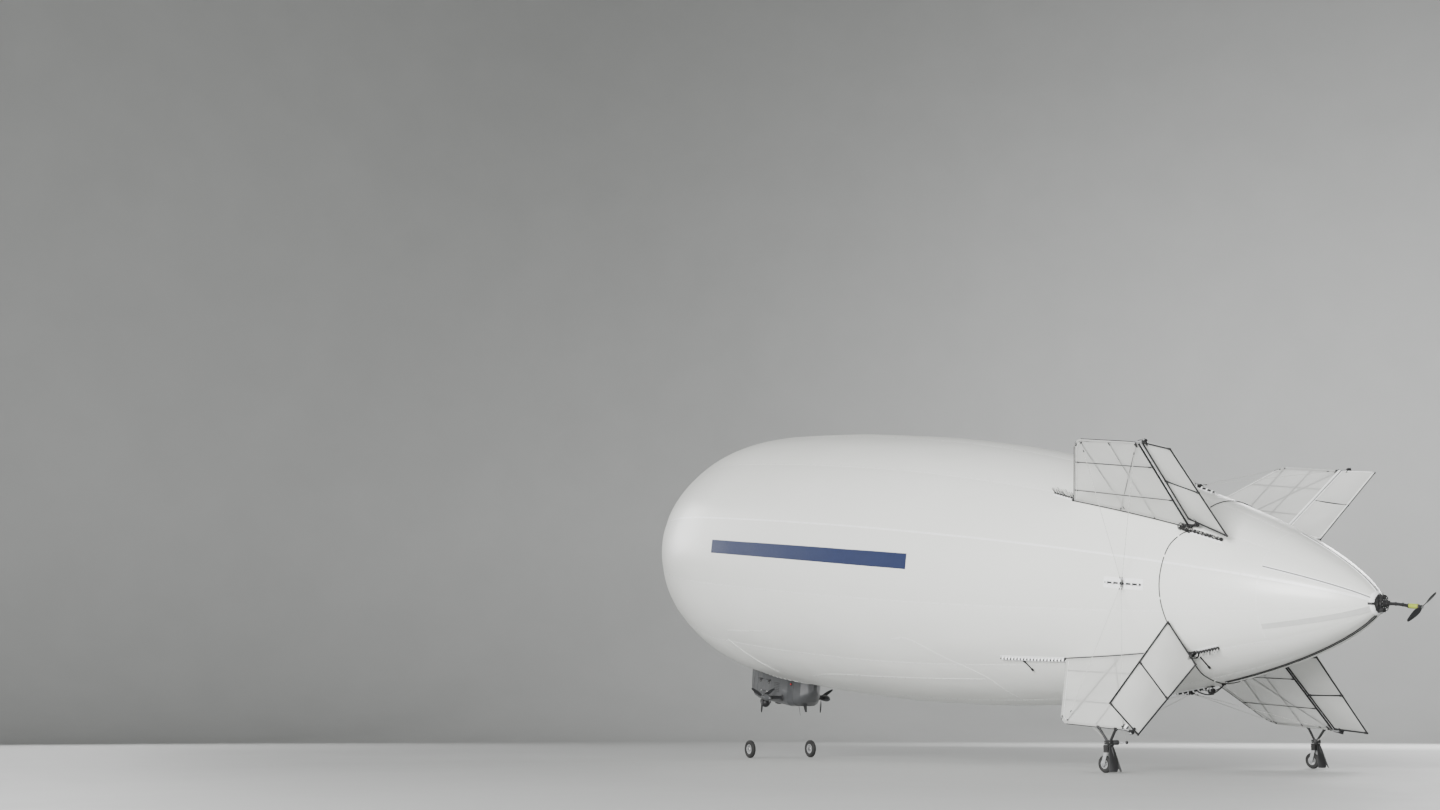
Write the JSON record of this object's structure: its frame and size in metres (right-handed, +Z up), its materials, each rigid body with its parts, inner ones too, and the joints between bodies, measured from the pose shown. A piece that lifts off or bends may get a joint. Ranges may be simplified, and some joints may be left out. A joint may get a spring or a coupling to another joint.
{
  "type": "small uncrewed airship",
  "caption": "Small uncrewed airship with a slack white envelope, X tail with pivoting panels, castors under the lower fins, tail propeller and a gondola with tilting side propellers.",
  "frame": {"origin": "on the floor under the middle of the airship's box", "axes": "+X towards the tail, +Y to starboard, +Z up; the hull's axis is pitched 8.45 degrees nose-up, as it parks"},
  "size_m": [11.1838, 3.12, 4.1052],
  "materials": {
    "hull_fabric": "satin off-white laminate film fabric, slightly slack",
    "fin_film": "white translucent film over black tube frames",
    "black_plastic": "satin black",
    "carbon": "satin carbon fibre",
    "aluminium": "brushed bare aluminium",
    "gondola_skin": "dark grey satin paint",
    "tyre": "black rubber",
    "lime_band": "yellow-green anodised band",
    "cable": "black sheathed cable"
  },
  "bodies": {
    "hull": {"envelope": "hull_fabric", "nose_cap": "black_plastic", "tail_cap": "black_plastic", "tail_boom": "carbon", "tail_motor": "lime_band", "cable_ring": "cable", "belly_cable": "cable", "belly_camera": "black_plastic", "gas_valve": "aluminium", "air_valve": "black_plastic", "gondola_shell": "gondola_skin", "battery_block": "black_plastic", "front_leg": "carbon", "sensor_turret": "black_plastic", "fin_upper_port": "fin_film", "fin_upper_starboard": "fin_film", "fin_lower_port": "fin_film", "fin_lower_starboard": "fin_film", "stay_set_port": "black_plastic", "stay_set_top": "black_plastic", "stay_set_starboard": "black_plastic", "stay_set_belly": "black_plastic", "tail_leg_port": "aluminium", "tail_leg_starboard": "aluminium"},
    "panel_upper_port": {"panel_upper_port": "fin_film"},
    "panel_upper_starboard": {"panel_upper_starboard": "fin_film"},
    "panel_lower_port": {"panel_lower_port": "fin_film"},
    "panel_lower_starboard": {"panel_lower_starboard": "fin_film"},
    "tail_propeller": {"tail_propeller": "carbon"},
    "thrust_unit": {"thrust_tube": "carbon"},
    "propeller_port": {"propeller_port": "carbon"},
    "propeller_starboard": {"propeller_starboard": "carbon"},
    "hatch": {"gondola_hatch": "gondola_skin"},
    "castor_port": {"tail_fork_port": "aluminium"},
    "tail_wheel_port": {"tail_wheel_port": "tyre"},
    "front_wheel_port": {"front_wheel_port": "tyre"},
    "castor_starboard": {"tail_fork_starboard": "aluminium"},
    "tail_wheel_starboard": {"tail_wheel_starboard": "tyre"},
    "front_wheel_starboard": {"front_wheel_starboard": "tyre"}
  },
  "joints": [
    {"name": "pivot_upper_port", "type": "hinge", "parent": "hull", "child": "panel_upper_port", "pos_m": [4.00335, -0.596, 2.04028], "axis": [0.1425, -0.7424, 0.6546], "range_deg": [-23, 47]},
    {"name": "pivot_upper_starboard", "type": "hinge", "parent": "hull", "child": "panel_upper_starboard", "pos_m": [4.00335, 0.596, 2.04028], "axis": [0.1425, 0.7424, 0.6546], "range_deg": [-35, 35]},
    {"name": "pivot_lower_port", "type": "hinge", "parent": "hull", "child": "panel_lower_port", "pos_m": [3.84563, -0.596, 0.97865], "axis": [-0.054, -0.7424, -0.6678], "range_deg": [-145, 2]},
    {"name": "pivot_lower_starboard", "type": "hinge", "parent": "hull", "child": "panel_lower_starboard", "pos_m": [3.84563, 0.596, 0.97865], "axis": [-0.054, 0.7424, -0.6678], "range_deg": [-35, 35]},
    {"name": "tail_propeller_spin", "type": "hinge", "parent": "hull", "child": "tail_propeller", "pos_m": [5.57241, 0, 1.26466], "axis": [0.9891, 0, -0.1469], "continuous": true},
    {"name": "thrust_tilt", "type": "hinge", "parent": "hull", "child": "thrust_unit", "pos_m": [-3.11715, 0, 0.74592], "axis": [0, 1, 0], "range_deg": [-95, 95]},
    {"name": "propeller_spin_port", "type": "hinge", "parent": "thrust_unit", "child": "propeller_port", "pos_m": [-3.22695, -0.45, 0.76223], "axis": [0.9891, 0, -0.1469], "continuous": true},
    {"name": "propeller_spin_starboard", "type": "hinge", "parent": "thrust_unit", "child": "propeller_starboard", "pos_m": [-3.22695, 0.45, 0.76223], "axis": [0.9891, 0, -0.1469], "continuous": true},
    {"name": "hatch_hinge", "type": "hinge", "parent": "hull", "child": "hatch", "pos_m": [-3.52489, -0.233, 0.99555], "axis": [-0.9891, 0, 0.1469], "range_deg": [0, 85]},
    {"name": "castor_swivel_port", "type": "hinge", "parent": "hull", "child": "castor_port", "pos_m": [3.52571, -1.30942, 0.241], "axis": [0, 0, 1], "continuous": true},
    {"name": "tail_wheel_spin_port", "type": "hinge", "parent": "castor_port", "child": "tail_wheel_port", "pos_m": [3.47072, -1.30942, 0.07], "axis": [0, 1, 0], "continuous": true},
    {"name": "front_wheel_spin_port", "type": "hinge", "parent": "hull", "child": "front_wheel_port", "pos_m": [-3.51491, -0.462, 0.11], "axis": [0, 1, 0], "continuous": true},
    {"name": "castor_swivel_starboard", "type": "hinge", "parent": "hull", "child": "castor_starboard", "pos_m": [3.52571, 1.30942, 0.241], "axis": [0, 0, 1], "continuous": true},
    {"name": "tail_wheel_spin_starboard", "type": "hinge", "parent": "castor_starboard", "child": "tail_wheel_starboard", "pos_m": [3.47072, 1.30942, 0.07], "axis": [0, 1, 0], "continuous": true},
    {"name": "front_wheel_spin_starboard", "type": "hinge", "parent": "hull", "child": "front_wheel_starboard", "pos_m": [-3.51491, 0.462, 0.11], "axis": [0, 1, 0], "continuous": true}
  ]
}
